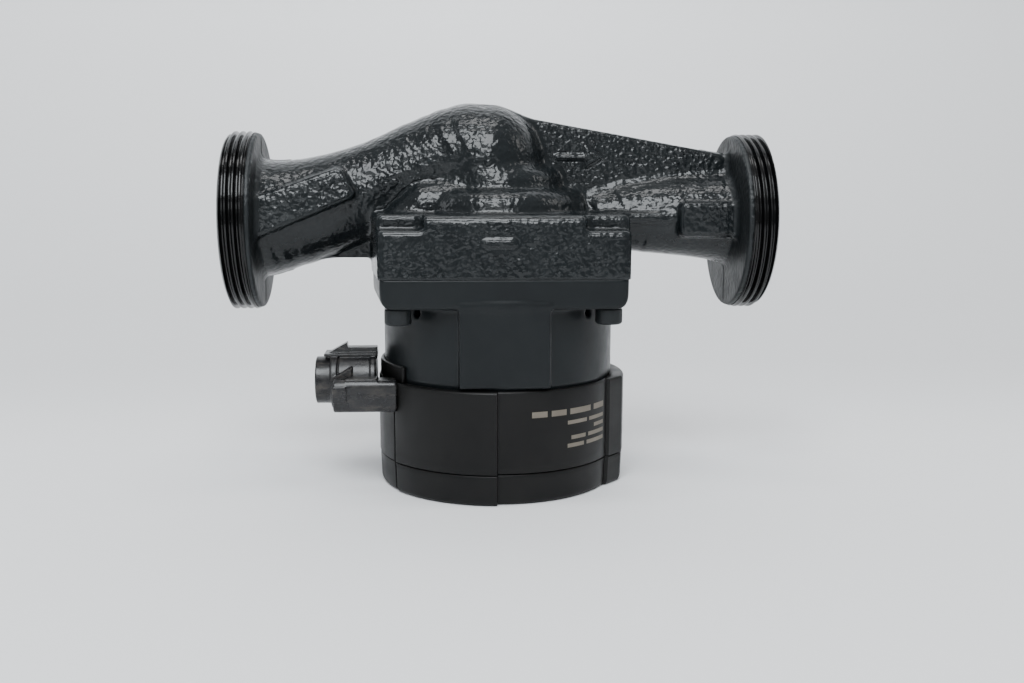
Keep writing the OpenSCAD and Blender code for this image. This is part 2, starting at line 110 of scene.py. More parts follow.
class Grid:
    """A block of sample points, in millimetres, with broadcastable coordinates."""

    def __init__(self, low, high, step):
        self.low, self.step = np.array(low, float), step
        axes = [np.arange(a, b + step, step, dtype=np.float32) for a, b in zip(low, high)]
        self.x = axes[0][:, None, None]
        self.y = axes[1][None, :, None]
        self.z = axes[2][None, None, :]
        self.shape = tuple(len(a) for a in axes)

    def tube(self, stations):
        """A round pipe in the plane y = 0 through stations (x, z, radius)."""
        best, square, size = None, None, None
        for (x0, z0, r0), (x1, z1, r1) in zip(stations, stations[1:]):
            dx, dz = x1 - x0, z1 - z0
            t = np.clip(((self.x - x0) * dx + (self.z - z0) * dz) / (dx * dx + dz * dz), 0, 1)
            away = (self.x - x0 - t * dx) ** 2 + (self.z - z0 - t * dz) ** 2
            r = r0 + t * (r1 - r0)
            d = np.sqrt(away) - r
            if best is None:
                best, square, size = d, away, r
            else:
                nearer = d < best
                best = np.where(nearer, d, best)
                square = np.where(nearer, away, square)
                size = np.where(nearer, r, size)
        return np.sqrt(square + self.y**2) - size

    def mesh(self, field):
        """Vertices and quads of the field's zero surface, by surface nets."""
        f = np.ascontiguousarray(np.broadcast_to(field, self.shape), dtype=np.float32)
        inside = f < 0
        nx, ny, nz = (n - 1 for n in self.shape)
        total = np.zeros((nx, ny, nz), np.int8)
        shifts = [(i, j, k) for i in (0, 1) for j in (0, 1) for k in (0, 1)]
        for i, j, k in shifts:
            total += inside[i:nx + i, j:ny + j, k:nz + k]
        cells = np.argwhere((total > 0) & (total < 8))
        number = np.full((nx, ny, nz), -1, np.int32)
        number[tuple(cells.T)] = np.arange(len(cells))
        value = {s: f[tuple((cells + s).T)] for s in shifts}
        place = np.zeros((len(cells), 3))
        hits = np.zeros(len(cells))
        for s in shifts:
            for axis in range(3):
                if s[axis]:
                    continue
                e = tuple(1 if n == axis else s[n] for n in range(3))
                a, b = value[s], value[e]
                cross = (a < 0) != (b < 0)
                t = np.where(cross, a / np.where(cross, a - b, 1), 0)
                point = np.tile(np.array(s, float), (len(cells), 1))
                point[:, axis] = t
                place += point * cross[:, None]
                hits += cross
        verts = self.low + (cells + place / hits[:, None]) * self.step
        quads = []
        for axis in range(3):
            u, v = (axis + 1) % 3, (axis + 2) % 3
            first = np.moveaxis(inside, (axis, u, v), (0, 1, 2))
            flips = first[1:, 1:-1, 1:-1] != first[:-1, 1:-1, 1:-1]
            edge = np.argwhere(flips)
            out = first[:-1, 1:-1, 1:-1][tuple(edge.T)]
            ring = []
            for du, dv in ((0, 0), (1, 0), (1, 1), (0, 1)):
                cell = np.empty_like(edge)
                cell[:, axis] = edge[:, 0]
                cell[:, u] = edge[:, 1] + du
                cell[:, v] = edge[:, 2] + dv
                ring.append(number[tuple(cell.T)])
            quad = np.stack(ring, 1)
            quads.append(np.where(out[:, None], quad, quad[:, ::-1]))
        return verts, np.concatenate(quads)


# ---------------------------------------------------------------- meshes


def add_mesh(name, verts, faces, material):
    """A mesh object from points in millimetres and an array of quads or a list of faces."""
    mesh = bpy.data.meshes.new(name)
    verts = np.asarray(verts, float) * MM
    if isinstance(faces, np.ndarray):
        mesh.vertices.add(len(verts))
        mesh.vertices.foreach_set("co", verts.astype(np.float32).ravel())
        sides = faces.shape[1]
        mesh.loops.add(faces.size)
        mesh.loops.foreach_set("vertex_index", faces.astype(np.int32).ravel())
        mesh.polygons.add(len(faces))
        mesh.polygons.foreach_set("loop_start", np.arange(0, faces.size, sides, dtype=np.int32))
        mesh.update(calc_edges=True)
    else:
        mesh.from_pydata(verts.tolist(), [], faces)
    mesh.validate()
    mesh.polygons.foreach_set("use_smooth", [True] * len(mesh.polygons))
    thing = bpy.data.objects.new(name, mesh)
    bpy.context.scene.collection.objects.link(thing)
    thing.data.materials.append(material)
    return thing


def grid_quads(rows, columns, wrap_rows=False, wrap_columns=True):
    """Quads of a rows by columns grid of points, numbered row by row."""
    r = np.arange(rows if wrap_rows else rows - 1)[:, None]
    c = np.arange(columns if wrap_columns else columns - 1)[None, :]
    r1, c1 = (r + 1) % rows, (c + 1) % columns
    ring = [r * columns + c, r * columns + c1, r1 * columns + c1, r1 * columns + c]
    return np.stack([np.broadcast_to(q, (r.size, c.size)) for q in ring], -1).reshape(-1, 4)


def merge_meshes(parts):
    """Joins (verts, quads) pairs into one."""
    verts, faces, start = [], [], 0
    for v, f in parts:
        verts.append(v)
        faces.append(f + start)
        start += len(v)
    return np.concatenate(verts), np.concatenate(faces)


def vertex_normals(verts, quads):
    """Unit normal at each point, from the quads round it."""
    n = np.cross(verts[quads[:, 2]] - verts[quads[:, 0]], verts[quads[:, 3]] - verts[quads[:, 1]])
    total = np.zeros_like(verts)
    for c in range(4):
        np.add.at(total, quads[:, c], n)
    return total / np.maximum(np.linalg.norm(total, axis=1, keepdims=True), 1e-9)


def noise_at(verts, size):
    """Smooth noise from -1 to 1 at each point, for blobs of about that size."""
    return np.array([noise.noise(Vector(v)) for v in verts / size])


# ---------------------------------------------------------------- materials


class Nodes:
    """A material's node tree, with short calls to add and link nodes."""

    def __init__(self, name):
        self.material = bpy.data.materials.new(name)
        self.material.use_nodes = True
        self.tree = self.material.node_tree
        self.shader = self.tree.nodes["Principled BSDF"]
        self.place = self.add("ShaderNodeTexCoord").outputs["Object"]

    def add(self, kind, **values):
        made = self.tree.nodes.new(kind)
        for key, value in values.items():
            setattr(made, key, value)
        return made

    def link(self, source, target):
        self.tree.links.new(source, target)

    def noise(self, scale, detail=2.0, rough=0.5, distortion=0.0, stretch=None):
        made = self.add("ShaderNodeTexNoise")
        place = self.place
        if stretch:
            mapping = self.add("ShaderNodeMapping")
            mapping.inputs["Scale"].default_value = stretch
            self.link(place, mapping.inputs["Vector"])
            place = mapping.outputs["Vector"]
        self.link(place, made.inputs["Vector"])
        made.inputs["Scale"].default_value = scale
        made.inputs["Detail"].default_value = detail
        made.inputs["Roughness"].default_value = rough
        made.inputs["Distortion"].default_value = distortion
        return made.outputs["Fac"]

    def axis(self, letter):
        made = self.add("ShaderNodeSeparateXYZ")
        self.link(self.place, made.inputs["Vector"])
        return made.outputs[letter]

    def cells(self, scale, feature="SMOOTH_F1", smoothness=0.8):
        made = self.add("ShaderNodeTexVoronoi", feature=feature)
        self.link(self.place, made.inputs["Vector"])
        made.inputs["Scale"].default_value = scale
        if feature == "SMOOTH_F1":
            made.inputs["Smoothness"].default_value = smoothness
        return made.outputs["Distance"]

    def spread(self, source, low, high, out_low=0.0, out_high=1.0):
        """Stretches low..high to out_low..out_high, held at both ends."""
        made = self.add("ShaderNodeMapRange")
        self.link(source, made.inputs["Value"])
        ranges = {"From Min": low, "From Max": high, "To Min": out_low, "To Max": out_high}
        for key, value in ranges.items():
            made.inputs[key].default_value = value
        return made.outputs["Result"]

    def math(self, operation, a, b):
        made = self.add("ShaderNodeMath", operation=operation)
        for socket, value in zip(made.inputs, (a, b)):
            if isinstance(value, (int, float)):
                socket.default_value = value
            else:
                self.link(value, socket)
        return made.outputs["Value"]

    def mix(self, factor, a, b):
        made = self.add("ShaderNodeMix", data_type="RGBA")
        self.link(factor, made.inputs["Factor"])
        for key, value in (("A", a), ("B", b)):
            socket = [s for s in made.inputs if s.name == key and s.type == "RGBA"][0]
            if isinstance(value, tuple):
                socket.default_value = (*value, 1)
            else:
                self.link(value, socket)
        return [s for s in made.outputs if s.type == "RGBA"][0]

    def bump(self, height, depth_mm, under=None):
        made = self.add("ShaderNodeBump")
        made.inputs["Distance"].default_value = depth_mm * MM
        self.link(height, made.inputs["Height"])
        if under is not None:
            self.link(under, made.inputs["Normal"])
        return made.outputs["Normal"]

    def edges(self, low, high):
        """1 on worn convex edges, 0 elsewhere."""
        pointed = self.add("ShaderNodeNewGeometry").outputs["Pointiness"]
        return self.spread(pointed, low, high)

    def finish(self, color, roughness, normal, **values):
        """Links what varies over the surface, and sets the shader's even values."""
        for source, key in ((color, "Base Color"), (roughness, "Roughness"), (normal, "Normal")):
            if source is not None:
                self.link(source, self.shader.inputs[key])
        for key, value in values.items():
            self.shader.inputs[key.replace("_", " ")].default_value = value
        return self.material


def leather_paint(name, dark, light, rough, leather_mm, dull_ends=0.0):
    """Thick gloss paint over a cast surface, in rounded blobs about a millimetre and a half wide."""
    n = Nodes(name)
    blobs = n.noise(700, detail=0.7, rough=0.35, distortion=0.3)
    cells = n.spread(n.cells(590), 0.0, 1.0, 1.0, 0.0)
    height = n.math("ADD", blobs, n.math("MULTIPLY", cells, 0.5))
    # deeper on faces square to the pump's front and on the webs, where the paint ran less
    flat = n.add("ShaderNodeSeparateXYZ")
    n.link(n.add("ShaderNodeTexCoord").outputs["Normal"], flat.inputs["Vector"])
    facing = n.spread(n.math("ABSOLUTE", flat.outputs["Y"], 0.0), 0.97, 0.997, 0.42, 1.0)
    facing = n.math("MULTIPLY", facing, n.spread(n.axis("Z"), 0.092, 0.097, 0.85, 1.6))
    patchy = n.math("MULTIPLY", facing, n.spread(n.noise(38, detail=1), 0.35, 0.6, 0.7, 1.0))
    normal = n.bump(n.math("MULTIPLY", height, patchy), leather_mm)
    normal = n.bump(n.noise(2600, detail=1), 0.012, under=normal)
    tone = n.mix(n.spread(n.noise(70, detail=4, rough=0.65), 0.35, 0.7), dark, light)
    rubbed = tuple(2.2 * c for c in light)
    worn = n.mix(n.math("MULTIPLY", n.edges(0.52, 0.62), n.noise(260, detail=3)), tone, rubbed)
    gloss = n.spread(n.noise(160, detail=3), 0.3, 0.7, rough - 0.04, rough + 0.07)
    if dull_ends:
        reach = n.math("ABSOLUTE", n.axis("X"), 0.0)
        gloss = n.math("ADD", gloss, n.spread(reach, 0.0775, 0.0795, 0.0, dull_ends))
    return n.finish(worn, gloss, normal, Specular_IOR_Level=0.32)


def smooth_paint(name, dark, light, rough, grain_mm=0.012):
    """Satin paint over a machined or die-cast surface."""
    n = Nodes(name)
    tone = n.mix(n.spread(n.noise(55, detail=4, rough=0.6), 0.35, 0.7), dark, light)
    rubbed = tuple(2.5 * c for c in light)
    worn = n.mix(n.math("MULTIPLY", n.edges(0.54, 0.66), n.noise(300, detail=3)), tone, rubbed)
    gloss = n.spread(n.noise(240, detail=4), 0.3, 0.7, rough - 0.05, rough + 0.07)
    swell = n.bump(n.noise(330, detail=2), grain_mm * 1.6)
    normal = n.bump(n.noise(2600, detail=2), grain_mm, under=swell)
    return n.finish(worn, gloss, normal, Specular_IOR_Level=0.21)


def moulded(name, dark, light, rough, grain_mm=0.01):
    """Moulded plastic with a fine grain, faint flow marks and scuffs."""
    n = Nodes(name)
    tone = n.mix(n.spread(n.noise(45, detail=5, rough=0.6), 0.35, 0.7), dark, light)
    scuffs = n.spread(n.noise(180, detail=6, rough=0.8, stretch=(1, 1, 6)), 0.6, 0.8, 0, 0.5)
    tone = n.mix(n.math("MULTIPLY", scuffs, n.noise(60)), tone, tuple(3.2 * c for c in light))
    gloss = n.spread(n.noise(120, detail=5), 0.3, 0.7, rough - 0.06, rough + 0.1)
    normal = n.bump(n.noise(4200, detail=2), grain_mm)
    return n.finish(tone, gloss, normal, Specular_IOR_Level=0.2)


def dusty_plastic(name, dark, light, dust):
    """Glossy plastic with dust in patchy streaks and on rubbed, lighter edges."""
    n = Nodes(name)
    tone = n.mix(n.spread(n.noise(90, detail=4), 0.35, 0.7), dark, light)
    streaks = n.spread(n.noise(420, detail=5, rough=0.75, stretch=(0.35, 1, 1)), 0.5, 0.74)
    cover = n.math("MULTIPLY", streaks, n.spread(n.noise(150, detail=2), 0.35, 0.65, 0.1, 0.75))
    tone = n.mix(cover, tone, dust)
    tone = n.mix(n.math("MULTIPLY", n.edges(0.53, 0.64), 0.55), tone, dust)
    shine = n.spread(n.noise(200, detail=4), 0.3, 0.7, 0.22, 0.34)
    gloss = n.math("ADD", shine, n.math("MULTIPLY", cover, 0.4))
    swell = n.bump(n.noise(700, detail=2), 0.05)
    normal = n.bump(n.noise(4000, detail=2), 0.012, under=swell)
    return n.finish(tone, gloss, normal, Specular_IOR_Level=0.4)


def metal(name, dark, light, rough, stretch=None):
    """Bare metal with a fine grain, drawn out along a direction if stretch is given."""
    n = Nodes(name)
    grain = n.noise(700, detail=4, rough=0.7, stretch=stretch)
    tone = n.mix(n.spread(grain, 0.3, 0.7), dark, light)
    gloss = n.spread(n.noise(150, detail=4), 0.3, 0.7, rough - 0.08, rough + 0.1)
    return n.finish(tone, gloss, n.bump(grain, 0.006), Metallic=1.0)


def stacked(n, layers_per_mm):
    """Even bands up the pump's axis."""
    wave = n.add("ShaderNodeTexWave", bands_direction="Z")
    n.link(n.place, wave.inputs["Vector"])
    scale_per_band = 2 / 6.3
    wave.inputs["Scale"].default_value = layers_per_mm / MM * scale_per_band
    return wave


def wound_wire(name, dark, light):
    """Enamelled wire lying side by side."""
    n = Nodes(name)
    wave = stacked(n, 2.2)
    wave.inputs["Distortion"].default_value = 0.6
    tone = n.mix(wave.outputs["Fac"], dark, light)
    return n.finish(tone, None, n.bump(wave.outputs["Fac"], 0.12), Metallic=0.7, Roughness=0.35)


def layered_sheets(name, dark, light):
    """The edges of thin steel sheets in a stack."""
    n = Nodes(name)
    wave = stacked(n, 2.0)
    tone = n.mix(n.math("MULTIPLY", wave.outputs["Fac"], n.noise(90)), dark, light)
    return n.finish(tone, None, n.bump(wave.outputs["Fac"], 0.05), Metallic=0.9, Roughness=0.45)


def board_green(name):
    """Solder mask with lighter lanes where the copper runs."""
    n = Nodes(name)
    lanes = n.spread(n.cells(350, "DISTANCE_TO_EDGE"), 0.04, 0.09)
    tone = n.mix(lanes, (0.05, 0.16, 0.08), (0.012, 0.075, 0.03))
    return n.finish(tone, None, n.bump(lanes, 0.03), Roughness=0.3)


MATERIALS = {
    "casting": leather_paint("cast_gloss_paint", (0.0066, 0.0084, 0.0095), (0.0102, 0.0126, 0.0138),
                             0.16, 0.46, dull_ends=0.3),
    "thread": leather_paint("thread_gloss_paint", (0.0014, 0.0015, 0.0017), (0.003, 0.0031, 0.0033),
                            0.13, 0.05),
    "motor_paint": smooth_paint("motor_satin_paint", (0.0058, 0.0074, 0.0084), (0.0082, 0.0102, 0.0112),
                                0.34),
    "box_plastic": moulded("box_matt_plastic", (0.0040, 0.0040, 0.0041), (0.0068, 0.0066, 0.0064), 0.40),
    "connector_plastic": dusty_plastic("connector_plastic", (0.006, 0.006, 0.007), (0.013, 0.013, 0.014),
                                       (0.10, 0.088, 0.075)),
    "screw": smooth_paint("screw_black_coat", (0.009, 0.011, 0.012), (0.016, 0.018, 0.019), 0.36, 0.008),
    "steel": metal("steel_sheet", (0.42, 0.42, 0.43), (0.62, 0.62, 0.63), 0.32, (1, 1, 8)),
    "shaft_steel": metal("ground_steel", (0.6, 0.6, 0.61), (0.76, 0.76, 0.77), 0.18, (1, 1, 0.1)),
    "rubber": moulded("seal_rubber", (0.01, 0.01, 0.01), (0.02, 0.02, 0.02), 0.6, 0.02),
    "ceramic": moulded("bearing_ceramic", (0.58, 0.55, 0.48), (0.68, 0.65, 0.58), 0.22, 0.003),
    "graphite": moulded("thrust_graphite", (0.02, 0.02, 0.022), (0.04, 0.04, 0.042), 0.4, 0.01),
    "impeller_plastic": moulded("impeller_plastic", (0.5, 0.46, 0.36), (0.6, 0.56, 0.46), 0.42, 0.012),
    "lamination": layered_sheets("lamination_stack", (0.1, 0.1, 0.11), (0.32, 0.32, 0.33)),
    "magnet": metal("magnet_nickel", (0.3, 0.3, 0.31), (0.45, 0.45, 0.46), 0.3),
    "copper": wound_wire("copper_winding", (0.24, 0.07, 0.02), (0.62, 0.26, 0.1)),
    "contact": metal("contact_plating", (0.55, 0.4, 0.14), (0.75, 0.58, 0.25), 0.25),
    "board": board_green("board_solder_mask"),
    "chip": moulded("chip_resin", (0.012, 0.012, 0.013), (0.025, 0.025, 0.026), 0.5, 0.01),
    "thermal": moulded("thermal_pad", (0.2, 0.23, 0.26), (0.3, 0.33, 0.36), 0.7, 0.03),
    "capacitor": moulded("capacitor_sleeve", (0.015, 0.018, 0.05), (0.03, 0.035, 0.08), 0.3, 0.004),
    "button": moulded("panel_plastic", (0.018, 0.019, 0.02), (0.03, 0.032, 0.034), 0.4, 0.02),
    "plunger": moulded("switch_plunger", (0.35, 0.32, 0.24), (0.45, 0.42, 0.33), 0.4, 0.006),
    "led": moulded("led_lens", (0.6, 0.6, 0.48), (0.75, 0.75, 0.62), 0.25, 0.004),
    "lens": moulded("light_guide", (0.45, 0.47, 0.49), (0.62, 0.65, 0.68), 0.2, 0.004),
    "print": moulded("grey_print", (0.12, 0.105, 0.085), (0.19, 0.17, 0.14), 0.5, 0.004),
}


# ---------------------------------------------------------------- pump housing casting

# Stations (x, z, radius) along the two pipes, and the volute's shoulders (start, end, radius).
SUCTION = [(-84, 90.4, 20.4), (-80, 90.4, 19.6), (-76, 90.8, 18.8), (-69, 92.0, 17.8), (-61, 94.0, 16.8),
           (-53.6, 96.4, 16.0), (-46.8, 98.8, 15.5), (-40, 101.2, 15.4), (-33, 104.2, 15.4),
           (-26.5, 107, 15.7), (-19.7, 109, 16.5), (-14.6, 109.9, 17.6), (-9.6, 110, 18.9), (-5, 109, 19.8)]
OUTLET = [(22, 90.0, 3.0), (29, 90.2, 6.6), (36, 90.6, 9.4), (44, 90.8, 11.3), (52, 90.9, 12.4),
          (60, 91.0, 13.2), (68, 90.9, 13.9), (76, 90.5, 14.7), (84, 90.0, 16.0)]
VOLUTE_SHOULDER = [((-31, -15, 90), (-25, -14, 95), 6.8), ((-25, -14, 95), (-15, -13, 98.5), 6.4),
                   ((31, 14, 87), (24, 13, 90), 8.5)]
BLOCK_TOP = 92.5
WEB_TOP = 125.6
WEB_SLOPE = -0.1733
WEB_HALF = 2.2
WALL = 4.2
FLANGE_X = PORT_X - FLANGE_T


def capsule(g, start, end, radius):
    """A round bar with ball ends."""
    along = [b - a for a, b in zip(start, end)]
    away = [v - a for v, a in zip((g.x, g.y, g.z), start)]
    t = np.clip(sum(u * v for u, v in zip(along, away)) / sum(u * u for u in along), 0, 1)
    return np.sqrt(sum((v - t * u) ** 2 for u, v in zip(along, away))) - radius


def block_sides(g, half_width, bulge, half_depth):
    """Side and front planes of the square block, whose sides bulge towards the parting plane."""
    slope = (bulge - half_width) / half_depth
    side = (abs(g.x) - bulge + slope * abs(g.y)) / math.hypot(1, slope)
    return side, abs(g.y) - half_depth


def volute_field(g):
    """Square block with notched corners, and the two round steps on top of it."""
    side, front = block_sides(g, 39.6, 43.6, BLOCK_D - 0.02)
    block = common([side, front + 0.05 * (g.z - JOINT_Z)], 2.6)
    block = smooth_max(block, g.z - BLOCK_TOP, 2.6)
    notch = smooth_max(smooth_max(25.4 - abs(g.x), 32.0 - abs(g.y), 4.0), 87.7 - g.z, 1.6)
    block = smooth_max(block, -notch, 1.4)
    dome = smooth_max(radial(g.x, g.y) + 0.12 * (g.z - 93) - 30.2, g.z - 100.2, 6.5)
    neck = smooth_max(radial(g.x, g.y, -0.5, 0) + 0.1 * (g.z - 100) - 22.2, g.z - 107.6, 6.0)
    skin = smooth_min(smooth_min(block, dome, 1.8), neck, 2.2)
    for path in VOLUTE_SHOULDER:
        skin = smooth_min(skin, capsule(g, *path), 2.4)
    gate_mark = smooth_max(between(g.x, -7.5, 4.0), between(g.z, 82.4, 85.2), 2.4)
    return smooth_min(skin, smooth_max(gate_mark, abs(g.y) - BLOCK_D + 0.1, 0.5), 0.8)


def add_webs(g, skin, web_top, web_half):
    """The long web over the outlet and the short one under the suction pipe."""
    web = common([abs(g.y) - web_half, web_top, -4 - g.x, g.x - 81, 88 - g.z], 1.1)
    skin = smooth_min(skin, web, 3.4)
    left_web = common([abs(g.y) - 2.6, between(g.x, -65, -38), between(g.z, 76.9, 96)], 1.0)
    return smooth_min(skin, left_web, 1.8)


def add_pads(g, skin):
    """Spanner pads and a rib on the outlet, and the slanted pad on the suction pipe."""
    x, z, ay = g.x, g.z, abs(g.y)
    pad = common([between(x, 60, 82), between(z, 84.6, 96.2)], 3.0)
    skin = smooth_min(skin, smooth_max(pad, ay - 16.4, 1.4), 1.5)
    rib = common([between(x, 36, 62), between(z, 89.2, 92.7), ay - 13.6], 1.3)
    skin = smooth_min(skin, rib, 1.4)
    left_top = (z - 97.6 - 0.36 * (x + 80)) * 0.94
    left_bottom = (84.2 + 0.42 * (x + 80) - z) * 0.92
    left_end = (x + 52 + 0.58 * (z - 107)) * 0.86
    left_pad = common([left_top, left_bottom, left_end, -84 - x], 2.6)
    return smooth_min(skin, smooth_max(left_pad, ay - 20.2 + 0.16 * (z - 96), 1.2), 1.3)


def add_arrow(g, skin, web_half):
    """Raised flow arrow on the front of the right web."""
    shaft = np.maximum(between(g.x, 19, 31), abs(g.z - 111) - 1.0)
    head = np.maximum(29.5 - g.x, (abs(g.z - 111) + (g.x - 36) * 0.62) * 0.85)
    arrow = common([np.minimum(shaft, head), -g.y - web_half - 0.75, g.y], 0.5)
    return smooth_min(skin, arrow, 0.6)


def passages(g):
    """Water ways, the seats of the impeller and the bearing plate, and the screw holes."""
    bore = [(x, z, r - WALL) for x, z, r in SUCTION[2:]]
    column = radial(g.x, g.y)
    return [
        g.tube([(-84, PORT_Z + 0.8, 14.2), *bore]),
        g.tube([(24, PORT_Z, 3.0), (44, PORT_Z, 7.4), (76, PORT_Z, 10.4), (82, PORT_Z, 15)]),
        np.maximum(column - 13.5, between(g.z, 86, 108)),
        np.maximum(column - 16, between(g.z, 86, 91.6)),
        np.maximum(column - 33.5, g.z - 88.6),
        np.maximum(column - 36.3, g.z - 75.0),
        np.maximum(radial(abs(g.x), abs(g.y), SCREW_AT, SCREW_AT) - 2.55, g.z - JOINT_Z - 11),
    ]


def housing_field(g):
    """Outer skin of the casting, then its water passages cut out."""
    web_top = (g.z - WEB_TOP - WEB_SLOPE * (g.x - 2)) / math.hypot(1, WEB_SLOPE)
    web_half = WEB_HALF - 0.07 * np.minimum(web_top, 0)
    skin = smooth_min(volute_field(g), g.tube(SUCTION), 2.6)
    skin = smooth_min(skin, g.tube(OUTLET), 2.2)
    skin = add_webs(g, skin, web_top, web_half)
    skin = add_pads(g, skin)
    skin = add_arrow(g, skin, web_half)
    rim = radial(g.y, g.z, 0, PORT_Z) - (THREAD_R - 0.5)
    flange = smooth_max(rim, between(abs(g.x), FLANGE_X, FLANGE_X + 3.2), 0.9)
    skin = smooth_min(skin, flange, 2.6)
    skin = np.maximum(skin, abs(g.x) - (FLANGE_X + 2.0))
    # the joint face ends the block, and leaves the ports beside it whole
    skin = np.maximum(skin, np.where(abs(g.x) > 60, -9.0, JOINT_Z - 0.2 - g.z))
    for cut in passages(g):
        skin = np.maximum(skin, -cut)
    return skin


def make_casting():
    """The pump housing, with slow waves, small blobs and a parting ridge left by the mould."""
    step = 0.6
    g = Grid((-85, -46, 57), (85, 46, 131), step)
    verts, quads = g.mesh(housing_field(g))
    normals = vertex_normals(verts, quads)
    x, y, z = verts.T
    column = np.hypot(x, y)
    cast = (z > JOINT_Z + 0.3) | (abs(x) > 60)
    passage = ((column < 34.5) & (z < 90)) | ((np.hypot(y, z - PORT_Z) < 13.5) & (abs(x) > 50))
    amount = np.where(cast & ~passage, 1.0, 0.0)
    rim = np.clip((28.8 - np.hypot(y, z - PORT_Z)) / 2, 0, 1)
    amount = np.where(abs(x) > FLANGE_X - 4, amount * rim, amount)
    blobs = noise_at(verts, 2.4)
    waves = noise_at(verts + 90, 8.0)
    parting = np.exp(-((y / 0.5) ** 2)) * np.where(abs(x) > 70, 0.3, 0.08)
    verts = verts + normals * (amount * (0.05 * blobs + 0.05 * waves + parting))[:, None]
    casting = add_mesh("housing_casting", verts, quads, MATERIALS["casting"])
    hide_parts("pump_housing")
    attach(casting, "pump")
    return casting


def make_thread(name, side):
    """Machined port end with a true helical thread, a chamfered face and the mouth of the bore."""
    pitch, depth = 2.309, 1.479
    root = THREAD_R - depth
    start = FLANGE_X + 1.6
    angles = 320
    theta = np.linspace(0, 2 * math.pi, angles, endpoint=False)
    rows = []
    threaded = np.arange(0, PORT_X - 0.7 - start, 0.115)
    for s in threaded:
        phase = s / pitch - side * theta / (2 * math.pi)
        wave = 0.5 - 0.5 * np.cos(2 * math.pi * phase)
        wave = np.clip(wave * 1.25 - 0.12, 0, 1)
        fade = min(1, s / 1.2)
        r = THREAD_R - depth * wave * fade - 0.5 * max(0, 0.5 - s)
        rows.append((start + s, r))
    last = threaded[-1] + start
    face = [(last + 0.3, THREAD_R - 1.0), (PORT_X - 0.15, root), (PORT_X, root - 0.2),
            (PORT_X, THREAD_R - 3), (PORT_X, 24), (PORT_X, 20)]
    mouth = [(PORT_X, MOUTH_R + 0.9), (PORT_X - 0.1, MOUTH_R + 0.55), (PORT_X - 0.6, MOUTH_R),
             (PORT_X - 3, MOUTH_R), (start + 0.5, MOUTH_R), (start, MOUTH_R + 0.1)]
    back = [(start, 22), (start, THREAD_R - 0.4)]
    for x, r in face + mouth + back:
        rows.append((x, np.full(angles, r, float)))
    grid = [np.stack([np.full(angles, side * x), r * np.cos(theta), PORT_Z + r * np.sin(theta)], 1)
            for x, r in rows]
    quads = grid_quads(len(rows), angles, wrap_rows=True)
    if side < 0:
        quads = quads[:, ::-1]
    port = add_mesh(name, np.concatenate(grid), quads[:, ::-1], MATERIALS["thread"])
    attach(port, "pump")
    return port


# ---------------------------------------------------------------- motor housing


def motor_field(g):
    """Square motor flange, round shell with a flat pad front and back, and the parts inside its floor."""
    x, y, z = g.x, g.y, g.z
    ay = abs(y)
    side, front = block_sides(g, 39.2, 43.3, BLOCK_D - 0.1)
    plate = smooth_max(side, front, 2.6)
    side_low = smooth_max(side, PLATE_Z - z, 5.5)
    plate = common([plate, side_low, smooth_max(front, PLATE_Z - z, 1.2)], 0.6)
    plate = np.maximum(plate + 0.06, z - JOINT_Z - 0.25)
    swell = 0.5 * np.clip((z - BOX_TOP - 0.3) / 0.6, 0, 1)
    shell = np.maximum(radial(x, y) - SHELL_R - swell, between(z, 34.4, PLATE_Z + 2))
    boss = np.maximum(common([abs(x) - 14.5, ay - 39.75], 0.7), between(z, BOX_TOP + 0.8, PLATE_Z + 2))
    skin = smooth_min(smooth_min(plate, shell, 1.6), boss, 0.9)
    # drain holes under the flange corners
    for angle in (45, 135, 225, 315):
        c, s = math.cos(math.radians(angle)), math.sin(math.radians(angle))
        along = x * c + y * s
        off = np.sqrt((y * c - x * s) ** 2 + (z - PLATE_Z + 2.0) ** 2)
        skin = np.maximum(skin, -np.maximum(off - 1.5, 35.8 - along))
    # bearing hub, screw bosses and the pedestal of the power module
    hub = np.maximum(radial(x, y) - 12, between(z, 26, 36))
    skin = np.minimum(skin, hub)
    for angle in (60, 180, 300):
        c, s = math.cos(math.radians(angle)), math.sin(math.radians(angle))
        skin = np.minimum(skin, np.maximum(radial(x, y, 27 * c, 27 * s) - 4, between(z, 30, 36)))
    pedestal = common([abs(x) - 7.5, between(y, -27.5, -10.5), between(z, 28, 36)], 0.3)
    skin = np.minimum(skin, pedestal)
    cuts = [np.maximum(radial(x, y) - CAVITY_R, 36.6 - z), np.maximum(radial(x, y) - 36.6, 69.4 - z),
            np.maximum(radial(x, y) - 8.2, z - 45),
            radial(abs(x), ay, SCREW_AT, SCREW_AT) - 2.75]
    for cut in cuts:
        skin = np.maximum(skin, -cut)
    return skin


def make_motor_shell():
    """The painted motor shell."""
    step = 0.55
    g = Grid((-46, -43, 24), (46, 43, 75), step)
    verts, quads = g.mesh(motor_field(g))
    shell = add_mesh("motor_shell", verts, quads, MATERIALS["motor_paint"])
    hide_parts("motor_housing")
    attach(shell, "pump")


# ---------------------------------------------------------------- turned and swept pieces


def sweep_ring(profile, theta, radius_at):
    """A closed band: its profile is (inset, z) from the outline, or (None, radius, z) where it is round."""
    rows = []
    outline = radius_at(theta)
    for station in profile:
        r = outline - station[0] if len(station) == 2 else np.full(len(theta), station[1], float)
        z = station[-1]
        rows.append(np.stack([r * np.cos(theta), r * np.sin(theta), np.full(len(theta), z)], 1))
    return np.concatenate(rows), grid_quads(len(profile), len(theta), wrap_rows=True)


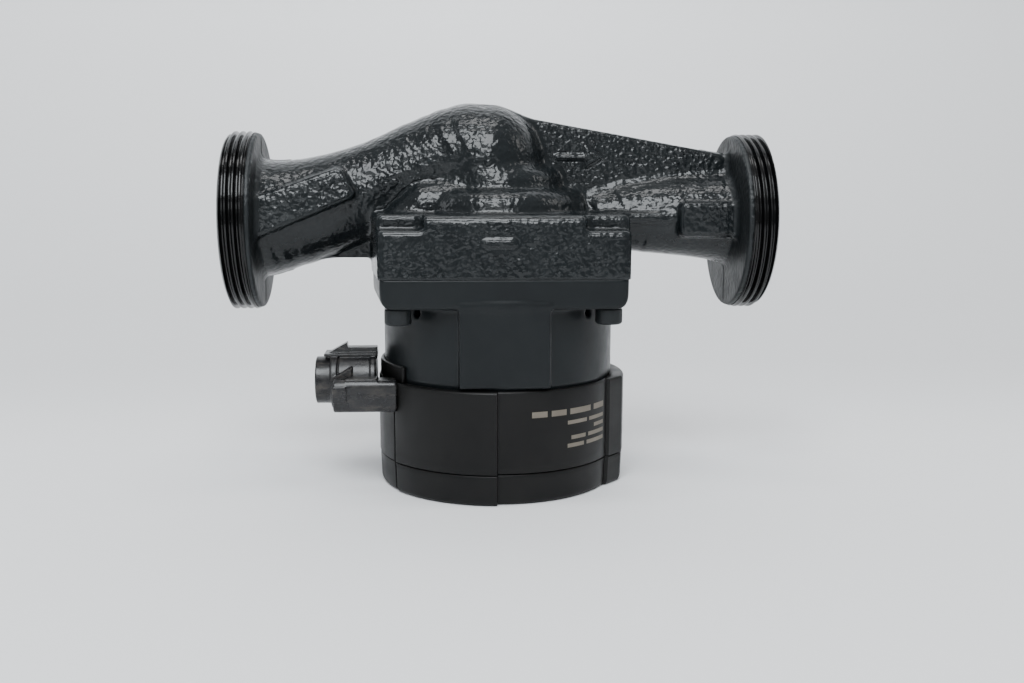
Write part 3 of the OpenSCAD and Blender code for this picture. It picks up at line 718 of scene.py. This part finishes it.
def box_radius(theta):
    """Outline of the control box: plain circle, two raised grip sectors and the side lug."""
    deg = np.degrees((theta + math.pi) % (2 * math.pi) - math.pi)
    a = abs(deg)

    def rise(low, high, soft=0.35):
        up = np.clip((a - low) / soft + 0.5, 0, 1)
        down = np.clip((high - a) / soft + 0.5, 0, 1)
        return up * up * (3 - 2 * up) * down * down * (3 - 2 * down)

    r = BOX_R + 1.15 * rise(149.6, 190) + 1.75 * rise(93.5, 147.6)
    lug_x, lug_y, corner_x, corner_y, lug_r = 36.8, 19.0, 41.9, 13.4, 44.0
    slant = np.array([corner_y - lug_y, -(corner_x - lug_x)])
    slant = -slant / np.linalg.norm(slant)
    c, s = np.cos(theta), abs(np.sin(theta))
    with np.errstate(divide="ignore", invalid="ignore"):
        line = (slant[0] * lug_x + slant[1] * lug_y) / (slant[0] * c + slant[1] * s)
        edge = lug_y / np.maximum(s, 1e-6)
    lug = np.minimum(lug_r, np.minimum(np.where(line > 0, line, 99), edge))
    return np.where(a < 27.8, np.maximum(r, lug), r)


def outline_angles():
    """Even angles, with extra ones at each step of the outline."""
    even = np.linspace(-180, 180, 720, endpoint=False)
    corners = (93.5, 148, 150, 27.3, 17.7, 27.8)
    steps = [s * a + d for s in (-1, 1) for a in corners for d in np.linspace(-0.4, 0.4, 9)]
    return np.radians(np.unique(np.concatenate([even, steps]).round(3)))


def rounded_edge(inset, z, radius, count, down):
    """Profile points round an outer edge, from the side wall to the flat."""
    points = []
    for i in range(count + 1):
        a = math.pi / 2 * i / count
        rise = radius - radius * math.sin(a)
        points.append((inset + radius * (1 - math.cos(a)), z + rise if down else z - rise))
    return points


def guard_wall():
    """Low curved wall on the box that guards the inlets."""
    n, sweep = 160, 74
    arc = np.radians(np.linspace(-180 - sweep / 2, -180 + sweep / 2, n))
    ends = np.minimum(np.arange(n), np.arange(n)[::-1]) * np.radians(sweep) / (n - 1) * 40
    drop = np.maximum(0, 1.0 - ends) ** 2
    section = [(40.9, 36.0), (40.9, 41.9), (40.6, 42.5), (40.2, 42.7), (39.9, 42.7), (39.45, 42.5),
               (39.25, 42.0), (39.25, 36.0)]
    rows = []
    for r, z in section:
        height = np.where(z > 40, z - drop * 0.3, z)
        rows.append(np.stack([r * np.cos(arc), r * np.sin(arc), height], 1))
    quads = grid_quads(len(section), n, wrap_rows=True, wrap_columns=False)
    caps = [[k * n for k in cap] for cap in ((0, 1, 6, 7), (1, 2, 5, 6), (2, 3, 4, 5))]
    end_quads = np.array(caps + [[q + n - 1 for q in cap[::-1]] for cap in caps])
    return np.concatenate(rows), np.concatenate([quads, end_quads])


def make_control_box():
    """The upper part of the control box, down to the seam with its cover."""
    low, top, inner = SEAM_Z + 0.02, BOX_TOP, SHELL_R + 0.15
    wall = [(0.45, low), (0.12, low + 0.08), (0.0, low + 0.35)]
    wall += [(0.0, low + 0.35 + (top - low - 1.4) * k / 10) for k in range(1, 10)]
    profile = wall + rounded_edge(0.0, top, 0.8, 5, down=False)
    profile += [(None, SHELL_R + 0.35, top), (None, inner, top - 0.3), (None, inner, 34.3),
                (None, 36.5, 34.3), (None, 36.5, 13.6), (None, 38.1, 13.6), (None, 38.1, low)]
    body = sweep_ring(profile, outline_angles(), box_radius)
    verts, quads = merge_meshes([body, guard_wall()])
    box = add_mesh("control_box_shell", verts, quads, MATERIALS["box_plastic"])
    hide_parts("control_box")
    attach(box, "pump")


def make_cover():
    """The bottom cover below the seam, with the opening for the light guide."""
    top = COVER_TOP
    profile = [(0.55, top), (0.32, top - 0.06), (0.2, top - 0.3)]
    profile += [(0.2 + 0.05 * k, top - 0.3 - 1.35 * k) for k in range(1, 6)]
    profile += [(0.5 + inset, z) for inset, z in rounded_edge(0.0, 0.0, 1.7, 6, down=True)]
    recess = [(33.5, 0.0), (33.1, 0.25), (33.0, 1.2), (20.0, 1.2), (4.9, 1.2), (4.3, 1.25)]
    inside = [(4.3, 3.4), (20.0, 3.4), (36.2, 3.4), (36.2, 12.4), (38.0, 12.4), (38.0, top)]
    profile += [(None, r, z) for r, z in recess + inside]
    verts, quads = sweep_ring(profile, outline_angles(), box_radius)
    cover = add_mesh("control_box_cover", verts, quads[:, ::-1], MATERIALS["box_plastic"])
    corners = [(x, y, z) for x in (-16, 16) for y in (9, 16) for z in (-1, 6)]
    sides = [(0, 1, 3, 2), (4, 6, 7, 5), (0, 4, 5, 1), (2, 3, 7, 6), (0, 2, 6, 4), (1, 5, 7, 3)]
    cutter = add_mesh("cutter", corners, sides, MATERIALS["box_plastic"])
    cut = cover.modifiers.new("window", "BOOLEAN")
    cut.object, cut.operation, cut.solver = cutter, "DIFFERENCE", "EXACT"
    apply_modifiers(cover)
    bpy.data.objects.remove(cutter)
    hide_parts("control_cover")
    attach(cover, "pump")


def apply_modifiers(thing):
    """Bakes a piece's modifiers into its mesh."""
    bpy.context.view_layer.update()
    view = bpy.context.evaluated_depsgraph_get()
    mesh = bpy.data.meshes.new_from_object(thing.evaluated_get(view))
    thing.modifiers.clear()
    thing.data = mesh


def make_screws():
    """Socket-head cap screws: knurled head, hexagon socket, threaded shank."""
    sides = 72
    theta = np.linspace(0, 2 * math.pi, sides, endpoint=False)
    knurl = 0.06 * np.cos(theta * 36)
    hexagon = 2.3 * math.cos(math.pi / 6) / np.cos((theta + math.pi / 6) % (math.pi / 3) - math.pi / 6)
    head_r, head_h, low = 4.25, 5.0, SCREW_LOW.z
    def round_at(r, z):
        return np.full(sides, r), z

    stations = [round_at(0.01, low + 2.6), (hexagon, low + 2.4), (hexagon, low + 0.25),
                (hexagon + 0.25, low), round_at(head_r - 0.8, low), round_at(head_r - 0.35, low + 0.15),
                round_at(head_r, low + 0.55), (head_r + knurl, low + 0.8), (head_r + knurl, low + 4.5),
                round_at(head_r, low + 4.8), round_at(head_r - 0.15, low + head_h),
                round_at(2.45, low + head_h)]
    for k in range(60):
        z = low + head_h + 0.2 + k * 0.32
        stations.append((2.33 + 0.12 * np.cos(2 * math.pi * z / 0.8 - theta), z))
    stations += [round_at(2.0, SCREW_HIGH.z - 0.1), round_at(0.01, SCREW_HIGH.z)]
    rows = [np.stack([r * np.cos(theta), r * np.sin(theta), np.full(sides, z)], 1) for r, z in stations]
    one = np.concatenate(rows)
    quads = grid_quads(len(stations), sides)
    places = [(sx * SCREW_AT, sy * SCREW_AT, 0) for sx in (-1, 1) for sy in (-1, 1)]
    verts, quads = merge_meshes([(one + place, quads) for place in places])
    screws = add_mesh("flange_cap_screws", verts, quads, MATERIALS["screw"])
    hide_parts("flange_screws")
    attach(screws, "pump")


# ---------------------------------------------------------------- inlets

INLET_Y = mounts["power_socket"]["pos_m"][1] / MM
INLET_Z = mounts["power_socket"]["pos_m"][2] / MM
INLET_X = node_box("power_inlet")[0].x
INLET_R = 9.7
BARREL_R = 8.0


def barb(g, tip_x, length, base, height, width):
    """Locking barb on the round inlet, sloping up towards the pump and steep behind."""
    up, across = g.z - INLET_Z, g.y - INLET_Y
    ramp = (up - base - height * (g.x - tip_x) / length) * 0.85
    return common([ramp, tip_x - g.x, g.x - tip_x - length, abs(across) - width / 2, base - 2 - up], 0.2)


def power_inlet_field(g):
    """Round inlet: barrel, collar, body, a shelf with the latching rail, barbs and a keyed socket."""
    x, y, z = g.x, g.y, g.z
    around = radial(y, z, INLET_Y, INLET_Z)
    up, across = z - INLET_Z, abs(y - INLET_Y)
    barrel = smooth_max(around - BARREL_R, between(x, INLET_X - 0.7, INLET_X + 8), 0.5)
    collar = smooth_max(around - INLET_R - 0.05, between(x, -57.0, -54.7), 0.5)
    body = smooth_max(around - INLET_R + 0.2, between(x, -55, -42.5), 0.3)
    band = smooth_max(around - INLET_R - 0.1, between(x, -43.8, -41.9), 0.4)
    skin = smooth_min(np.minimum(np.minimum(barrel, collar), body), band, 0.3)
    skin = np.maximum(skin, -np.maximum(abs(x + 54.4) - 0.2, INLET_R - 0.7 - around))
    shelf = common([between(x, -59.3, -41.5), across - 4.7, between(up, 8.6, 9.6)], 0.3)
    skin = smooth_min(skin, shelf, 0.3)
    rail = common([across - 2.3, between(up, 7.5, 11.5), between(x, -52.2, -41.5)], 0.35)
    skin = smooth_min(skin, rail, 0.3)
    skin = smooth_min(skin, barb(g, -58.0, 6.4, 9.5, 3.6, 4.6), 0.2)
    for y_low, y_high in ((-17.8, -14.6), (-1.4, 1.8)):
        ramp = (z - 38.3 - 0.55 * (x + 55.6)) * 0.87
        ear = common([ramp, between(x, -55.8, -49.6), between(y, y_low, y_high), 36 - z], 0.2)
        skin = smooth_min(skin, ear, 0.2)
    foot = common([between(x, -45, -34), across - 5.5, between(z, 29.6, 34)], 0.2)
    skin = np.minimum(skin, foot)
    skin = np.maximum(skin, -np.maximum(around - 6.3, x + 46.5))
    keyway = common([across - 1.0, between(z, INLET_Z - 7.0, INLET_Z - 5), x + 52], 0.1)
    return np.maximum(skin, -keyway)


def signal_inlet_field(g):
    """Rounded block in front of the power inlet, with a latch pad, a moulding seam and its socket."""
    x, y, z = g.x, g.y, g.z
    block = common([between(y, -25.0, -16), between(z, 27.5, 38.2)], 2.6)
    block = smooth_max(block, between(x, -55.5, -34.6), 0.8)
    block = np.maximum(block, -(radial(y, z, INLET_Y, INLET_Z) - INLET_R - 0.12))
    block = np.maximum(block, 39.9 - radial(x, y))
    latch = common([between(x, -55.65, -51.0), between(y, -25.45, -22), between(z, 31.0, 36.4)], 0.5)
    skin = smooth_min(block, latch, 0.35)
    step = common([between(x, -51.5, -41), between(y, -24.2, -17.5), between(z, 37, 38.7)], 0.4)
    skin = smooth_min(skin, step, 0.4)
    seam = common([between(x, -56, -36), between(z, 33.25, 33.45), y + 24.0], 0.1)
    skin = smooth_min(skin, common([seam, -25.12 - y], 0.1), 0.15)
    foot = common([between(x, -42, -29), between(y, -22, -17.8), between(z, 29.6, 34)], 0.2)
    skin = np.minimum(skin, foot)
    socket = common([between(x, -60, -44), between(y, -23.7, -18.1), between(z, 30.2, 36.8)], 0.6)
    return np.maximum(skin, -socket)


def make_inlets():
    """Both inlets, each hollow where its plug goes."""
    step = 0.24
    for name, field, low, high in (
        ("power_inlet_moulding", power_inlet_field, (-63, -20, 24), (-33, 4, 52)),
        ("signal_inlet_moulding", signal_inlet_field, (-57, -27, 26), (-28, -15, 41))):
        g = Grid(low, high, step)
        verts, quads = g.mesh(field(g))
        piece = add_mesh(name, verts, quads, MATERIALS["connector_plastic"])
        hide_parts(name.replace("_moulding", ""))
        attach(piece, "pump")


# ---------------------------------------------------------------- printed bars on the box


def make_print():
    """Plain bars where the real box is printed, with no lettering."""
    rows = [(29.4, 1.9, [(8.6, 13.7), (15.1, 20.2), (21.5, 29.0), (30.2, 34.2)]),
            (25.8, 1.25, [(20.7, 27.6), (28.5, 34.2)]),
            (23.3, 1.25, [(30.4, 34.2)]),
            (20.7, 1.3, [(22.0, 27.2), (28.2, 34.2)]),
            (18.1, 1.3, [(20.7, 26.6), (27.6, 34.2)])]
    count, print_r = 14, BOX_R + 0.02
    verts, faces = [], []
    for z, height, spans in rows:
        for x0, x1 in spans:
            start = len(verts)
            for k in range(count + 1):
                x = x0 + (x1 - x0) * k / count
                angle = -math.acos(x / BOX_R)
                for edge_z in (z - height / 2, z + height / 2):
                    verts.append((print_r * math.cos(angle), print_r * math.sin(angle), edge_z))
            faces += [(i, i + 2, i + 3, i + 1) for i in range(start, start + 2 * count, 2)]
    bars = add_mesh("printed_bars", verts, faces, MATERIALS["print"])
    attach(bars, "pump")


# ---------------------------------------------------------------- stage, light and camera


def make_stage():
    """A pale paper sweep, painted a little darker where it turns up as shade, and painted lighter again
    behind the pump as a pool of light.
    """
    floor = Nodes("studio_paper_painted_light")
    # painted shade: the paper darkens from just behind the pump back to where the sweep turns up
    painted_bend_shade = floor.spread(floor.axis("Y"), 0.04, 0.20, 1.0, 0.845)
    # painted light: the paper turns lighter high on the wall, most in the middle and less towards the
    # sides, as a pool of light
    sides = floor.spread(floor.math("ABSOLUTE", floor.axis("X"), 0.0), 0.04, 0.42, 0.34, 0.13)
    high = floor.math("MULTIPLY", floor.spread(floor.axis("Z"), 0.03, 0.22), sides)
    level = floor.math("ADD", painted_bend_shade, high)
    # the paper's colour carries this painted shade and painted light
    tone = floor.mix(floor.math("MULTIPLY", level, 0.83), (0.0, 0.0, 0.0), (0.985, 0.99, 1.0))
    paper = floor.finish(tone, None, floor.bump(floor.noise(900, detail=2), 0.02), Roughness=0.9)
    start, bend, reach, steps = 140, 330, 2600, 24
    section = [(-reach, 0), (-300, 0), (start, 0)]
    for k in range(1, steps + 1):
        a = math.pi / 2 * k / steps
        section.append((start + bend * math.sin(a), bend * (1 - math.cos(a))))
    section.append((start + bend, reach))
    verts = [(x, y, z) for y, z in section for x in (-reach, reach)]
    faces = [(2 * k, 2 * k + 1, 2 * k + 3, 2 * k + 2) for k in range(len(section) - 1)]
    sweep = add_mesh("studio_sweep", verts, faces, paper)


def add_light(name, place, aim, width, height, power, color=(1, 1, 1)):
    data = bpy.data.lights.new(name, "AREA")
    data.shape, data.size, data.size_y = "RECTANGLE", width, height
    data.energy, data.color = power, color
    lamp = bpy.data.objects.new(name, data)
    bpy.context.scene.collection.objects.link(lamp)
    lamp.location = place
    lamp.rotation_mode = "QUATERNION"
    lamp.rotation_quaternion = (Vector(aim) - Vector(place)).to_track_quat("-Z", "Y")


def make_light():
    """A sky that brightens overhead, a big window in front and weak fill from the sides."""
    world = bpy.data.worlds.new("studio")
    world.use_nodes = True
    tree = world.node_tree
    sky = tree.nodes["Background"]
    direction = tree.nodes.new("ShaderNodeTexCoord")
    split = tree.nodes.new("ShaderNodeSeparateXYZ")
    level = tree.nodes.new("ShaderNodeMapRange")
    tree.links.new(direction.outputs["Generated"], split.inputs["Vector"])
    tree.links.new(split.outputs["Z"], level.inputs["Value"])
    for key, value in (("From Min", 0.0), ("From Max", 0.9), ("To Min", 0.28), ("To Max", 0.55)):
        level.inputs[key].default_value = value
    tree.links.new(level.outputs["Result"], sky.inputs["Strength"])
    sky.inputs["Color"].default_value = (0.96, 0.98, 1, 1)
    bpy.context.scene.world = world
    add_light("tall_window", (-0.16, -0.95, 1.15), (0, 0, 0.09), 0.85, 0.70, 24.0, (0.93, 0.97, 1))
    add_light("low_window", (-0.25, -1.3, 0.55), (0, 0, 0.1), 1.0, 0.2, 2.0, (0.93, 0.97, 1))
    add_light("wall_wash", (0.0, -0.1, 1.5), (0, 0.5, 0.35), 0.9, 0.3, 6.5)
    add_light("left_window", (-1.2, -0.2, 0.7), (0, 0, 0.08), 0.3, 0.6, 1.5, (0.93, 0.96, 1))
    add_light("right_window", (1.2, -0.1, 0.8), (0, 0, 0.08), 0.3, 0.5, 1.5, (1, 0.98, 0.95))


def make_camera():
    """Level enough to see the front, a little above and left of the motor axis."""
    azimuth, pitch, roll = math.radians(4.15), math.radians(8.57), math.radians(0.21)
    level = math.cos(pitch)
    ahead = Vector((math.sin(azimuth) * level, math.cos(azimuth) * level, -math.sin(pitch)))
    right = Vector((math.cos(azimuth), -math.sin(azimuth), 0))
    up = right.cross(ahead)
    x_axis = right * math.cos(roll) + up * math.sin(roll)
    y_axis = up * math.cos(roll) - right * math.sin(roll)
    data = bpy.data.cameras.new("camera")
    data.sensor_width, data.lens = 36, 37.43
    data.clip_start, data.clip_end = 0.01, 20
    camera = bpy.data.objects.new("camera", data)
    bpy.context.scene.collection.objects.link(camera)
    turn = Matrix((x_axis, y_axis, -ahead)).transposed().to_4x4()
    camera.matrix_world = Matrix.Translation((-0.0218, -0.3690, 0.1030)) @ turn
    bpy.context.scene.camera = camera


def finish_cad_nodes():
    """Gives each CAD node the finish of its slot in the record."""
    for row in frame["record"]["subparts"]:
        thing = frame["nodes"][row["node"]]
        thing.data.materials.clear()
        thing.data.materials.append(MATERIALS[row["material_slot"]])


make_camera()
make_stage()
make_light()
finish_cad_nodes()
make_casting()
make_thread("inlet_threaded_end", -1)
make_thread("outlet_threaded_end", 1)
make_motor_shell()
make_control_box()
make_cover()
make_screws()
make_inlets()
make_print()
